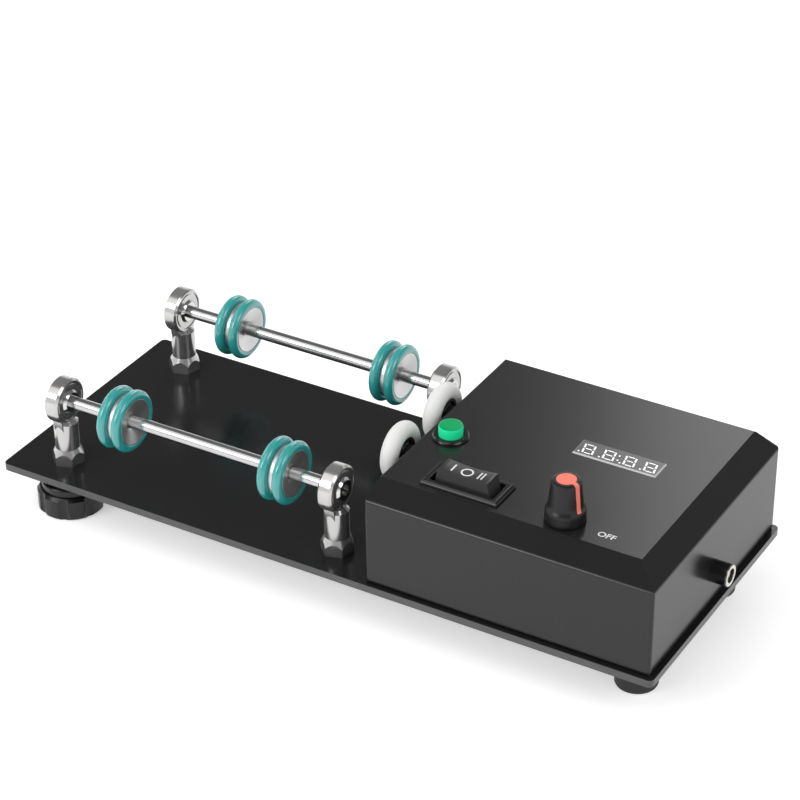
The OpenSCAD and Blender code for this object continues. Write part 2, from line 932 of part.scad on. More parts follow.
module front_idler_shaft() {
    color("#cfd1d4")
        idler_shaft(rod_y[0]);
}

module rear_idler_shaft() {
    color("#cfd1d4")
        idler_shaft(rod_y[1]);
}

module front_left_hub() {
    color("#c4c6c9")
        roller_hub(roller_x[0], rod_y[0]);
}

module front_right_hub() {
    color("#c4c6c9")
        roller_hub(roller_x[1], rod_y[0]);
}

module rear_left_hub() {
    color("#c4c6c9")
        roller_hub(roller_x[0], rod_y[1]);
}

module rear_right_hub() {
    color("#c4c6c9")
        roller_hub(roller_x[1], rod_y[1]);
}

module front_left_rings() {
    color("#3fb5ad")
        roller_rings(roller_x[0], rod_y[0]);
}

module front_right_rings() {
    color("#3fb5ad")
        roller_rings(roller_x[1], rod_y[0]);
}

module rear_left_rings() {
    color("#3fb5ad")
        roller_rings(roller_x[0], rod_y[1]);
}

module rear_right_rings() {
    color("#3fb5ad")
        roller_rings(roller_x[1], rod_y[1]);
}

// Drive wheels

module drive_tyre(y) {
    hub_r = wheel_hub_d / 2 + seat_clear;
    on_plate(wheel_x, y, drive_z)
        along_x()
            rotate_extrude()
                intersection() {
                    translate([tyre_d / 2 - tyre_w / 2, 0])
                        circle(d = tyre_w);
                    translate([hub_r, -tyre_w])
                        square([tyre_d, 2 * tyre_w]);
                }
}

// Hub with a dished face and a boss that runs towards the bush in the case wall
module drive_hub(y) {
    r = wheel_hub_d / 2;
    half = hub_face / 2;
    boss_r = drive_d / 2 + 1.4;
    boss_end = wheel_to_case - free_clear;
    bore = drive_d / 2 + seat_clear;
    dish = 1;
    on_plate(wheel_x, y, drive_z)
        along_x()
            rotate_extrude()
                polygon([
                    [bore, dish - half],
                    [boss_r, dish - half],
                    [r - dish, -half],
                    [r, -half],
                    [r, half],
                    [r - dish, half],
                    [boss_r + dish, half - dish],
                    [boss_r, half],
                    [boss_r, boss_end],
                    [bore, boss_end]]);
}

module drive_shaft(y) {
    from = wheel_x - hub_face / 2;
    to = bracket_x + bracket_t + overrun;
    on_plate(from, y, drive_z)
        along_x()
            turned_rod(drive_d, to - from);
}

module front_drive_tyre() {
    color("#ececea")
        drive_tyre(drive_y[0]);
}

module rear_drive_tyre() {
    color("#ececea")
        drive_tyre(drive_y[1]);
}

module front_drive_hub() {
    color("#2a2a2c")
        drive_hub(drive_y[0]);
}

module rear_drive_hub() {
    color("#2a2a2c")
        drive_hub(drive_y[1]);
}

module front_drive_shaft() {
    color("#b4b6b9")
        drive_shaft(drive_y[0]);
}

module rear_drive_shaft() {
    color("#b4b6b9")
        drive_shaft(drive_y[1]);
}

// Flanged bushes: one pair in the case wall, one pair in the motor bracket
module drive_bushes() {
    color("#b08a4a")
        for (y = drive_y, bush = [[case_x, case_wall, case_wall],
                [bracket_x - bush_flange_t, bracket_t + bush_flange_t, 0]])
            on_plate(bush[0], y, drive_z)
                along_x()
                    difference() {
                        union() {
                            cylinder(d = bush_d, h = bush[1]);
                            translate([0, 0, bush[2]])
                                cylinder(d = bush_d + 2 * bush_flange_wall, h = bush_flange_t);
                        }
                        translate([0, 0, -overrun])
                            cylinder(d = drive_d + 2 * run_clear,
                                h = case_wall + bracket_t + bush_flange_t + 2 * overrun);
                    }
}

// Gears

// Involute angle at radius r of a gear with base radius base_r, in degrees
function involute_angle(r, base_r) =
    r <= base_r ? 0 :
    let (t = sqrt(pow(r / base_r, 2) - 1))
    t * 180 / PI - atan(t);

// Half the angle that a tooth takes at radius r
function tooth_half(r, pitch_r, base_r, teeth) =
    90 / teeth - backlash / pitch_r * 45 / PI
        + involute_angle(pitch_r, base_r) - involute_angle(r, base_r);

// Outline of a spur gear with a tooth centred on the x axis
function gear_outline(teeth) =
    let (
        pitch_r = gear_module * teeth / 2,
        base_r = pitch_r * cos(pressure_angle),
        tip_r = pitch_r + gear_module * addendum_share,
        root_r = pitch_r - gear_module * dedendum_share,
        low_r = max(base_r, root_r),
        radii = concat([root_r], [for (i = [0:flank_steps])
            low_r + (tip_r - low_r) * i / flank_steps]),
        last = len(radii) - 1
    )
    [for (tooth = [0:teeth - 1], side = [-1, 1], i = [0:last])
        let (
            r = radii[side < 0 ? i : last - i],
            angle = tooth * 360 / teeth + side * tooth_half(r, pitch_r, base_r, teeth)
        )
        r * [cos(angle), sin(angle)]];

// Turn that sets a small gear at the given direction in mesh with the motor's gear
function mesh_turn(direction) = direction * (1 + gear_ratio) + 180 - 180 / pinion_teeth;

module drive_gear(y, direction) {
    on_plate(gear_x, y, drive_z)
        along_x()
            difference() {
                rotate([0, 0, mesh_turn(direction)])
                    linear_extrude(gear_w)
                        polygon(gear_outline(pinion_teeth));
                translate([0, 0, -overrun])
                    cylinder(d = drive_d + 2 * seat_clear, h = gear_w + 2 * overrun);
            }
}

module front_drive_gear() {
    color("#d9d4c4")
        drive_gear(drive_y[0], 180 - mesh_angle);
}

module rear_drive_gear() {
    color("#d9d4c4")
        drive_gear(drive_y[1], mesh_angle);
}

// Motor gear: toothed rim, thin web with lightening holes, and a hub
module motor_gear() {
    rim_r = motor_pitch_r - gear_module * dedendum_share - gear_rim;
    hub_r = drive_d / 2 + gear_hub_wall;
    web_r = (rim_r + hub_r) / 2;
    pocket = (gear_w - gear_web_t) / 2;
    color("#c9a45a")
        on_plate(gear_x, middle_y, motor_z)
            along_x()
                difference() {
                    linear_extrude(gear_w)
                        polygon(gear_outline(motor_teeth));
                    for (z = [-overrun, gear_w - pocket])
                        translate([0, 0, z])
                            difference() {
                                cylinder(r = rim_r, h = pocket + overrun);
                                cylinder(r = hub_r, h = pocket + overrun);
                            }
                    for (i = [0:gear_hole_count - 1])
                        rotate([0, 0, i * 360 / gear_hole_count])
                            translate([web_r, 0, -overrun])
                                cylinder(d = (rim_r - hub_r) / 2, h = gear_w + 2 * overrun);
                    translate([0, 0, -overrun])
                        cylinder(d = drive_d + 2 * seat_clear, h = gear_w + 2 * overrun);
                }
}

module motor_output_shaft() {
    color("#b4b6b9")
        on_plate(gear_x - overrun, middle_y, motor_z)
            along_x()
                turned_rod(drive_d, bracket_x + bracket_t + shaft_in_gearbox - gear_x);
}

// Gear motor behind the bracket: gearbox, motor can, end cap and two terminals
module gear_motor() {
    color("#a9abae")
        on_plate(bracket_x + bracket_t, middle_y, motor_z)
            along_x()
                difference() {
                    union() {
                        translate([0, 0, -motor_boss_l])
                            cylinder(d = motor_boss_d, h = motor_boss_l);
                        cylinder(d = gearbox_d, h = gearbox_l);
                        translate([0, 0, gearbox_l])
                            cylinder(d = motor_d, h = motor_l);
                        translate([0, 0, gearbox_l + motor_l])
                            cylinder(d = motor_cap_d, h = motor_cap_l);
                        for (side = [-1, 1])
                            translate([side * motor_d / 3, 0, gearbox_l + motor_l])
                                plain_box(terminal_t, terminal_w, terminal_l);
                    }
                    translate([0, 0, -motor_boss_l - overrun])
                        cylinder(d = drive_d + 2 * run_clear,
                            h = motor_boss_l + shaft_in_gearbox + 2 * overrun);
                    for (side = [-1, 1])
                        translate([side * motor_screw_gap / 2, 0, -overrun])
                            cylinder(d = screw_d + 2 * seat_clear,
                                h = motor_screw_reach + 2 * overrun);
                }
}

// Motor bracket: upright with the motor's holes and the bushes' holes, and a foot
module motor_bracket() {
    top = case_h - case_wall - free_clear;
    width = wheel_spacing + 2 * bracket_side;
    bend_r = bracket_t;
    color("#9c9ea2")
        difference() {
            union() {
                on_plate(bracket_x, middle_y - width / 2)
                    cube([bracket_t, width, top]);
                on_plate(bracket_x, middle_y - width / 2)
                    cube([bracket_t + bracket_foot_l, width, bracket_t]);
                for (side = [0, 1])
                    on_plate(bracket_x + bracket_t, middle_y - width / 2
                            + side * (width - bracket_t), bracket_t)
                        rotate([90, 0, 0])
                            translate([0, 0, -bracket_t])
                                linear_extrude(bracket_t)
                                    polygon([[0, 0], [bracket_foot_l, 0], [bend_r, top / 2],
                                        [0, top / 2]]);
            }
            for (y = drive_y)
                on_plate(bracket_x - overrun, y, drive_z)
                    along_x()
                        cylinder(d = bush_d + 2 * seat_clear, h = bracket_t + 2 * overrun);
            on_plate(bracket_x - overrun, middle_y, motor_z)
                along_x() {
                    cylinder(d = motor_boss_d + 2 * seat_clear, h = bracket_t + 2 * overrun);
                    for (side = [-1, 1])
                        translate([side * motor_screw_gap / 2, 0, 0])
                            cylinder(d = screw_d + 2 * seat_clear, h = bracket_t + 2 * overrun);
                }
            for (p = bracket_places)
                on_plate(p[0], p[1], -overrun)
                    cylinder(d = screw_d + 2 * seat_clear, h = bracket_t + 2 * overrun);
        }
}

module motor_screws() {
    color("#8f9196")
        for (side = [-1, 1])
            on_plate(bracket_x, middle_y + side * motor_screw_gap / 2, motor_z)
                along_x()
                    pan_screw(screw_d, bracket_t + motor_screw_reach, screw_head_d,
                        screw_head_h);
}

// Start button

module start_button_housing() {
    r = button_bezel_d / 2;
    bore = button_cap_d / 2 + free_clear;
    stem_hole = button_stem_reach + button_travel + button_stem_end;
    color("#1d1d1f")
        on_plate(button_pos[0], button_pos[1], case_h)
            difference() {
                union() {
                    rotate_extrude()
                        polygon([[0, 0], [r, 0], [r, button_bezel_h / 2],
                            [r - button_bezel_h / 2, button_bezel_h], [0, button_bezel_h]]);
                    translate([0, 0, -button_barrel_l])
                        cylinder(d = button_barrel_d, h = button_barrel_l);
                    for (side = [-1, 1])
                        translate([side * button_barrel_d / 4, 0,
                                -button_barrel_l - terminal_l])
                            plain_box(terminal_t, terminal_w, terminal_l);
                }
                translate([0, 0, -button_bore_l])
                    cylinder(r = bore, h = button_bore_l + button_bezel_h + overrun);
                translate([0, 0, -button_bore_l - stem_hole])
                    cylinder(d = button_stem_d + 2 * run_clear, h = button_bore_l);
            }
}

module start_button_nut() {
    color("#3a3a3d")
        on_plate(button_pos[0], button_pos[1], case_h - case_wall - button_nut_h)
            difference() {
                rotate([0, 0, 90])
                    cylinder(d = button_nut_af * 2 / sqrt(3), h = button_nut_h, $fn = 6);
                translate([0, 0, -overrun])
                    cylinder(d = button_barrel_d + 2 * seat_clear,
                        h = button_nut_h + 2 * overrun);
            }
}

module start_button_cap() {
    r = button_cap_d / 2;
    color("#12c878")
        on_plate(button_pos[0], button_pos[1], case_h) {
            rotate_extrude()
                polygon([[0, -button_skirt], [r, -button_skirt],
                    [r, button_cap_rise - 2 * small_chamfer],
                    [r - small_chamfer / 2, button_cap_rise - small_chamfer / 2],
                    [r - 2 * small_chamfer, button_cap_rise], [0, button_cap_rise]]);
            translate([0, 0, -button_bore_l - button_stem_reach])
                cylinder(d = button_stem_d, h = button_bore_l);
        }
}

// Return spring of the button, a helix of round wire between the cap and the barrel's floor
module start_button_spring() {
    wire = spring_wire_r;
    low = -button_bore_l + wire + seat_clear;
    high = -button_skirt - wire - seat_clear;
    rings = spring_turns * spring_steps;
    points = [for (i = [0:rings], j = [0:spring_sides - 1])
        let (
            around = i * 360 / spring_steps,
            across = j * 360 / spring_sides,
            r = spring_r + wire * cos(across)
        )
        [r * cos(around), r * sin(around), low + (high - low) * i / rings + wire * sin(across)]];
    walls = [for (i = [0:rings - 1], j = [0:spring_sides - 1])
        let (next = (j + 1) % spring_sides)
        each [
            [i * spring_sides + j, (i + 1) * spring_sides + j, (i + 1) * spring_sides + next],
            [i * spring_sides + j, (i + 1) * spring_sides + next, i * spring_sides + next]]];
    ends = [[for (j = [0:spring_sides - 1]) j],
        [for (j = [0:spring_sides - 1]) rings * spring_sides + spring_sides - 1 - j]];
    color("#c0c2c5")
        on_plate(button_pos[0], button_pos[1], case_h)
            polyhedron(points, concat(walls, ends));
}

// Rocker switch

module rocker_housing() {
    color("#1d1d1f")
        on_plate(rocker_pos[0], rocker_pos[1], case_h)
            difference() {
                union() {
                    bevelled_box(rocker_l, rocker_w, rocker_bezel_h, rocker_bezel_h / 2);
                    translate([0, 0, -rocker_body_h])
                        plain_box(rocker_body_l, rocker_body_w, rocker_body_h);
                    for (place = [-1, 0, 1])
                        translate([place * rocker_blade_gap, 0,
                                -rocker_body_h - rocker_blade_l])
                            plain_box(terminal_t, rocker_blade_w, rocker_blade_l);
                }
                translate([0, 0, -rocker_cavity_h])
                    plain_box(rocker_cavity_l, rocker_cavity_w,
                        rocker_cavity_h + rocker_bezel_h + overrun);
                translate([0, rocker_body_w / 2, rocker_pivot_z])
                    rotate([90, 0, 0])
                        cylinder(r = rocker_pin_r + run_clear, h = rocker_body_w);
            }
}

// Rocker with a hollow top, sloped ends and two pins that turn in the housing's sides
module rocker_paddle() {
    top_half = rocker_half - rocker_taper;
    arc_r = (pow(top_half, 2) + pow(rocker_hollow, 2)) / (2 * rocker_hollow);
    color("#242426")
        on_plate(rocker_pos[0], rocker_pos[1], case_h)
            difference() {
                union() {
                    translate([0, rocker_paddle_w / 2, 0])
                        rotate([90, 0, 0])
                            linear_extrude(rocker_paddle_w)
                                polygon([[-rocker_half / 2, 3 * rocker_pivot_z],
                                    [rocker_half / 2, 3 * rocker_pivot_z],
                                    [rocker_half, rocker_pivot_z],
                                    [top_half, rocker_rise],
                                    [-top_half, rocker_rise],
                                    [-rocker_half, rocker_pivot_z]]);
                    translate([0, rocker_body_w / 2 - free_clear, rocker_pivot_z])
                        rotate([90, 0, 0])
                            cylinder(r = rocker_pin_r, h = rocker_body_w - 2 * free_clear);
                }
                translate([0, rocker_body_w / 2, rocker_rise - rocker_hollow + arc_r])
                    rotate([90, 0, 0])
                        cylinder(r = arc_r, h = rocker_body_w, $fn = 96);
            }
}

// Speed control

module speed_potentiometer() {
    color("#8d8f93")
        on_plate(knob_pos[0], knob_pos[1], case_h)
            difference() {
                union() {
                    translate([0, 0, -case_wall - pot_body_h])
                        cylinder(d = pot_body_d, h = pot_body_h);
                    translate([0, 0, -case_wall])
                        cylinder(d = pot_bush_d, h = case_wall + pot_bush_h);
                    for (place = [-1, 0, 1])
                        translate([place * pot_terminal_gap, pot_body_d / 2,
                                -case_wall - pot_body_h])
                            plain_box(terminal_w / 2, 2 * pot_terminal_l, terminal_t);
                }
                translate([0, 0, -case_wall - pot_body_h / 2])
                    cylinder(d = pot_shaft_d + 2 * run_clear,
                        h = case_wall + pot_body_h / 2 + pot_bush_h + overrun);
            }
}

module potentiometer_nut() {
    color("#c8b070")
        on_plate(knob_pos[0], knob_pos[1], case_h)
            difference() {
                cylinder(d = pot_nut_af * 2 / sqrt(3), h = pot_nut_h, $fn = 6);
                translate([0, 0, -overrun])
                    cylinder(d = pot_bush_d + 2 * seat_clear, h = pot_nut_h + 2 * overrun);
            }
}

module potentiometer_shaft() {
    from = -case_wall - pot_body_h / 2 + free_clear;
    color("#b4b6b9")
        on_plate(knob_pos[0], knob_pos[1], case_h + from)
            turned_rod(pot_shaft_d, pot_shaft_top - from);
}

// Outline of the knob from its skirt to its top, grown outwards by the value grow
function knob_outline(grow) =
    let (
        r = knob_d / 2 + grow,
        waist = knob_waist_r + grow,
        top_r = knob_top_r + grow,
        top = knob_h + grow,
        round = knob_top_round
    )
    [[0, 0], [r, 0], [r - small_chamfer / 2, knob_skirt_h - small_chamfer],
        [r - small_chamfer, knob_skirt_h], [waist + small_chamfer, knob_skirt_h + small_chamfer],
        [waist, knob_skirt_h + 3 * small_chamfer], [top_r, top - round],
        [top_r - round / 4, top - round / 3], [top_r - round, top], [0, top]];

// Slab on one side of the knob's axis, where the pointer lies
module pointer_slab(w) {
    rotate([0, 0, pointer_angle])
        translate([0, -w / 2, knob_skirt_h + small_chamfer])
            cube([knob_d, w, knob_h]);
}

module speed_knob() {
    color("#1b1b1d")
        on_plate(knob_pos[0], knob_pos[1], case_h + knob_lift)
            difference() {
                rotate_extrude()
                    polygon(knob_outline(0));
                translate([0, 0, -overrun])
                    cylinder(r = knob_d / 2 - knob_skirt_wall, h = knob_recess_h + overrun);
                cylinder(d = pot_shaft_d + 2 * seat_clear,
                    h = pot_shaft_top - knob_lift + free_clear);
                translate([0, 0, knob_h - pointer_depth])
                    cylinder(r = pointer_cap_r, h = pointer_depth + overrun);
                difference() {
                    pointer_slab(pointer_w);
                    rotate_extrude()
                        polygon(knob_outline(-pointer_depth));
                }
            }
}

// Red cap on top of the knob with a stripe that runs down its side
module knob_pointer() {
    color("#f0705c")
        on_plate(knob_pos[0], knob_pos[1], case_h + knob_lift)
            union() {
                translate([0, 0, knob_h - pointer_depth])
                    cylinder(r = pointer_cap_r - seat_clear,
                        h = pointer_depth + pointer_proud);
                intersection() {
                    pointer_slab(pointer_w - 2 * seat_clear);
                    difference() {
                        rotate_extrude()
                            polygon(knob_outline(pointer_proud));
                        rotate_extrude()
                            polygon(knob_outline(-pointer_depth));
                    }
                }
            }
}

// Display

module display_window() {
    color("#7d8084")
        on_plate(display_pos[0], display_pos[1], case_h - case_wall) {
            bevelled_box(display_l, display_w, case_wall + display_proud, display_proud);
            translate([0, 0, -display_flange_t])
                plain_box(display_l + 2 * display_flange, display_w + 2 * display_flange,
                    display_flange_t);
        }
}

module display_module() {
    top = case_h - case_wall - display_flange_t;
    color("#2f5d3c")
        on_plate(display_pos[0], display_pos[1], top - led_block_h) {
            plain_box(display_l - display_flange, display_w, led_block_h);
            translate([0, 0, -led_board_t])
                plain_box(led_board_l, led_board_w, led_board_t);
        }
}

// Power socket: threaded barrel through the right wall, with its flange inside
module dc_socket() {
    body = socket_flange_t + socket_body_l;
    color("#232325")
        on_plate(case_x + case_l - case_wall, case_inset + socket_y, socket_h)
            along_x()
                difference() {
                    union() {
                        cylinder(d = socket_d, h = case_wall + socket_out - socket_ring_t);
                        translate([0, 0, -socket_flange_t])
                            cylinder(d = socket_flange_d, h = socket_flange_t);
                        translate([0, 0, -body])
                            cylinder(d = socket_body_d, h = socket_body_l);
                        for (side = [-1, 1])
                            translate([side * socket_body_d / 4, 0, -body - terminal_l])
                                plain_box(terminal_t, terminal_w, terminal_l);
                    }
                    translate([0, 0, case_wall + socket_out - socket_bore_l])
                        cylinder(d = socket_bore_d + 2 * socket_ring_wall + 2 * seat_clear,
                            h = socket_bore_l);
                }
}

// Bright lining of the socket with its end ring, and the centre pin
module dc_socket_contact() {
    lip = socket_d / 2 - small_chamfer / 2;
    bore = socket_bore_d / 2;
    sleeve = bore + socket_ring_wall;
    floor_h = 1;
    color("#d4d6d9")
        on_plate(case_x + case_l + socket_out - socket_bore_l, case_inset + socket_y, socket_h)
            along_x() {
                rotate_extrude()
                    polygon([[0, 0], [sleeve, 0], [sleeve, socket_bore_l - socket_ring_t],
                        [lip, socket_bore_l - socket_ring_t], [lip, socket_bore_l],
                        [bore, socket_bore_l], [bore, floor_h], [0, floor_h]]);
                translate([0, 0, floor_h - seat_clear])
                    cylinder(d = socket_pin_d, h = socket_bore_l - floor_h - socket_pin_recess);
            }
}

// Controller board on its standoffs

// Standoffs with a bore for the screw from below and a barbed peg through the board
module board_standoffs() {
    peg_r = screw_d / 2;
    peg_top = standoff_h + board_t + standoff_peg_h;
    barb_z = standoff_h + board_t + seat_clear;
    color("#d8d8d4")
        for (p = board_places)
            on_plate(p[0], p[1])
                difference() {
                    union() {
                        cylinder(d = standoff_af * 2 / sqrt(3), h = standoff_h, $fn = 6);
                        rotate_extrude()
                            polygon([[0, standoff_h - overrun], [peg_r, standoff_h - overrun],
                                [peg_r, barb_z], [peg_r + standoff_barb, barb_z],
                                [peg_r - standoff_barb, peg_top], [0, peg_top]]);
                    }
                    translate([0, 0, -overrun])
                        cylinder(d = screw_d + 2 * seat_clear,
                            h = standoff_h - standoff_bore_top + overrun);
                }
}

// Board with two capacitors, a driver chip with its heat sink, and three connectors
module controller_board() {
    color("#1f6a44")
        on_plate(board_x[0], board_y[0], standoff_h)
            difference() {
                union() {
                    cube([board_l, board_w, board_t]);
                    translate([board_l * 0.2, board_w / 2, board_t])
                        cylinder(d = board_w / 3, h = board_w / 2);
                    translate([board_l * 0.36, board_w / 2, board_t])
                        cylinder(d = board_w / 4, h = board_w / 3);
                    translate([board_l * 0.56, board_w / 2, board_t]) {
                        plain_box(board_l / 6, board_w / 3, 2 * board_t);
                        for (place = [-1, 0, 1])
                            translate([place * board_t * 2, 0, 2 * board_t])
                                plain_box(board_t, board_w / 3, 3 * board_t);
                    }
                    for (place = [0.2, 0.5, 0.8])
                        translate([board_l * 0.82, board_w * place, board_t])
                            plain_box(board_w / 3, board_w / 5, 3 * board_t);
                }
                for (x = [board_hole_inset, board_l - board_hole_inset],
                        y = [board_hole_inset, board_w - board_hole_inset])
                    translate([x, y, -overrun])
                        cylinder(d = screw_d + 2 * seat_clear, h = board_t + 2 * overrun);
            }
}

base_plate();
control_case();
underside_screws();
front_rubber_foot();
rear_rubber_foot();
rubber_foot_screws();
front_levelling_knob();
rear_levelling_knob();
left_rod_end_studs();
stud_jam_nuts();
right_rod_end_screws();
front_left_rod_end();
front_right_rod_end();
rear_left_rod_end();
rear_right_rod_end();
front_left_ball();
front_right_ball();
rear_left_ball();
rear_right_ball();
front_idler_shaft();
rear_idler_shaft();
front_left_hub();
front_right_hub();
rear_left_hub();
rear_right_hub();
front_left_rings();
front_right_rings();
rear_left_rings();
rear_right_rings();
front_drive_tyre();
rear_drive_tyre();
front_drive_hub();
rear_drive_hub();
front_drive_shaft();
rear_drive_shaft();
front_drive_gear();
rear_drive_gear();
drive_bushes();
motor_gear();
motor_output_shaft();
gear_motor();
motor_bracket();
motor_screws();
start_button_housing();
start_button_nut();
start_button_cap();
start_button_spring();
rocker_housing();
rocker_paddle();
speed_potentiometer();
potentiometer_nut();
potentiometer_shaft();
speed_knob();
knob_pointer();
display_window();
display_module();
dc_socket();
dc_socket_contact();
board_standoffs();
controller_board();
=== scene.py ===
"""Film tank rotation base: finishes, printed marks, lit figures and the studio set.

Lengths are metres in the frame of the CAD model. Values in millimetres go through
mm() or on_plate().
"""

import math

import bmesh
import bpy
from mathutils import Matrix, Vector


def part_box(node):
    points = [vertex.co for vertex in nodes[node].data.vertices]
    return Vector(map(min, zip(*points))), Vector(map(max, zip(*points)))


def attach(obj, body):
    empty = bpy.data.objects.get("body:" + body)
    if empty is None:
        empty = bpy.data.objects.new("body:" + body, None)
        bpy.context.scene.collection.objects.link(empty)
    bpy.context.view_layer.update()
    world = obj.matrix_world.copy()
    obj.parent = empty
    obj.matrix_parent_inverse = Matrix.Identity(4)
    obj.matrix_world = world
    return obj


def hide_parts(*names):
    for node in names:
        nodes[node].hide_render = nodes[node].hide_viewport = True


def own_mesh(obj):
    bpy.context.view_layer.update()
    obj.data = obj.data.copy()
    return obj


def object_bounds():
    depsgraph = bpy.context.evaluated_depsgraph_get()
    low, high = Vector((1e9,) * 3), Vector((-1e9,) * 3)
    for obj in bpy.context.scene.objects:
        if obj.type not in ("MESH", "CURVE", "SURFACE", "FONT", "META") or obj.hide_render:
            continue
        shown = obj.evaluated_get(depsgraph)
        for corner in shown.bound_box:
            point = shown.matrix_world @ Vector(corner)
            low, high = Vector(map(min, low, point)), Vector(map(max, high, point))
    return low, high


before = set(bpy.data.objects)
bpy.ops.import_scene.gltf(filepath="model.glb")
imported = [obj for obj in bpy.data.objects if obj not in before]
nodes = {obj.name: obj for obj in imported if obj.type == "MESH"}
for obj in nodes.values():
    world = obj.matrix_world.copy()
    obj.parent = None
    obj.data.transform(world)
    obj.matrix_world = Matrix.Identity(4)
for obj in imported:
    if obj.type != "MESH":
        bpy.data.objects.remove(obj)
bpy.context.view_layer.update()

plate_low, plate_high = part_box("base_plate")
panel_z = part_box("control_case")[1].z
window_low, window_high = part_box("display_window")
paddle_low, paddle_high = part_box("rocker_paddle")
hub_low, hub_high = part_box("rear_left_hub")
floor_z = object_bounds()[0].z

ROWS = ("front", "rear")


def mm(value):
    return value * 0.001


def on_plate(x, y):
    """Point on the plate's top, given in mm from its front left corner."""
    return Vector((plate_low.x + mm(x), plate_low.y + mm(y), plate_high.z))


def linear(*levels):
    """Linear colour of an sRGB colour given as 0 to 255."""
    out = []
    for level in levels:
        c = level / 255.0
        out.append(c / 12.92 if c <= 0.04045 else ((c + 0.055) / 1.055) ** 2.4)
    return (*out, 1.0)


def grey(level):
    return linear(level, level, level)


def shade(colour, factor):
    return (*(c * factor for c in colour[:3]), 1.0)


def add_object(name, data):
    obj = bpy.data.objects.new(name, data)
    bpy.context.scene.collection.objects.link(obj)
    return obj


# Shader nodes -----------------------------------------------------------------


class ShaderTree:
    """Short ways to add nodes to a shader tree."""

    def __init__(self, tree):
        self.tree = tree

    def node(self, kind, **settings):
        made = self.tree.nodes.new(kind)
        for setting, value in settings.items():
            setattr(made, setting, value)
        return made

    def link(self, source, target):
        self.tree.links.new(source, target)

    def put(self, value, socket):
        """Links another node's output to a socket, or sets the socket to a constant."""
        if hasattr(value, "links"):
            self.link(value, socket)
        else:
            socket.default_value = value

    def maths(self, operation, *values):
        made = self.node("ShaderNodeMath", operation=operation)
        for socket, value in zip(made.inputs, values):
            self.put(value, socket)
        return made.outputs[0]

    def ramp(self, factor, low, high, start=0.3, end=0.7):
        """Smooth step from low to high as the factor goes from start to end."""
        made = self.node("ShaderNodeMapRange", interpolation_type="SMOOTHSTEP")
        made.inputs["From Min"].default_value = start
        made.inputs["From Max"].default_value = end
        made.inputs["To Min"].default_value = low
        made.inputs["To Max"].default_value = high
        self.link(factor, made.inputs["Value"])
        return made.outputs["Result"]

    def between(self, factor, first, second):
        """Number between two numbers."""
        made = self.node("ShaderNodeMix")
        for socket, value in (("Factor", factor), ("A", first), ("B", second)):
            self.put(value, made.inputs[socket])
        return made.outputs["Result"]

    def mixed(self, factor, first, second):
        """Colour between two colours."""
        made = self.node("ShaderNodeMix", data_type="RGBA")
        self.link(factor, made.inputs["Factor"])
        colour_a, colour_b = made.inputs[6], made.inputs[7]
        self.put(first, colour_a)
        self.put(second, colour_b)
        return made.outputs[2]

    def axes(self, vector):
        split = self.node("ShaderNodeSeparateXYZ")
        self.link(vector, split.inputs["Vector"])
        return split.outputs


class Finish(ShaderTree):
    """One node material: a Principled shader with noise in colour, gloss and relief."""

    def __init__(self, name, **sockets):
        self.material = bpy.data.materials.new(name)
        self.material.use_nodes = True
        super().__init__(self.material.node_tree)
        self.shader = self.tree.nodes["Principled BSDF"]
        for socket, value in sockets.items():
            self.shader.inputs[socket.replace("_", " ")].default_value = value
        self.place = self.node("ShaderNodeTexCoord").outputs["Object"]

    def stretched(self, scale):
        mapping = self.node("ShaderNodeMapping")
        mapping.inputs["Scale"].default_value = scale
        self.link(self.place, mapping.inputs["Vector"])
        return mapping.outputs["Vector"]

    def round_axis(self, y, z):
        """Distance from an axis along X at y or -y, as a place for rings of marks."""
        place = self.axes(self.place)
        across = self.maths("SUBTRACT", self.maths("ABSOLUTE", place["Y"]), y)
        above = self.maths("SUBTRACT", place["Z"], z)
        squares = self.maths(
            "ADD", self.maths("POWER", across, 2.0), self.maths("POWER", above, 2.0)
        )
        made = self.node("ShaderNodeCombineXYZ")
        self.link(self.maths("SQRT", squares), made.inputs["X"])
        return made.outputs["Vector"]

    def noise(self, scale, detail=3.0, vector=None):
        """Noise from 0 to 1; the scale is in waves per metre."""
        made = self.node("ShaderNodeTexNoise")
        made.inputs["Scale"].default_value = scale
        made.inputs["Detail"].default_value = detail
        self.link(vector or self.place, made.inputs["Vector"])
        return made.outputs["Fac"]

    def facing(self, axis):
        """How far the surface faces along an axis, from -1 to 1."""
        return self.axes(self.node("ShaderNodeNewGeometry").outputs["Normal"])[axis]

    def colour(self, factor, first, second):
        self.link(self.mixed(factor, first, second), self.shader.inputs["Base Color"])

    def gloss(self, factor, low, high):
        self.link(self.ramp(factor, low, high), self.shader.inputs["Roughness"])

    def relief(self, height, strength, distance):
        made = self.node("ShaderNodeBump")
        made.inputs["Strength"].default_value = strength
        made.inputs["Distance"].default_value = distance
        self.link(height, made.inputs["Height"])
        self.link(made.outputs["Normal"], self.shader.inputs["Normal"])


# Finishes ---------------------------------------------------------------------

# The rollers' axes lie along X at this y, to both sides, and at this z
HUB_AXIS = ((hub_low.y + hub_high.y) / 2, (hub_low.z + hub_high.z) / 2)


def moulded(name, colour, rough, bump=0.12, specular=0.35, spread=0.1):
    """Injection moulded plastic: fine spark texture and slow colour drift."""
    made = Finish(name, Specular_IOR_Level=specular)
    drift = made.noise(scale=38, detail=4)
    grain = made.noise(scale=2600, detail=2)
    made.colour(drift, shade(colour, 1 - spread / 2), shade(colour, 1 + spread / 2))
    made.gloss(grain, rough - 0.015, rough + 0.015)
    made.relief(grain, bump, mm(0.03))
    return made


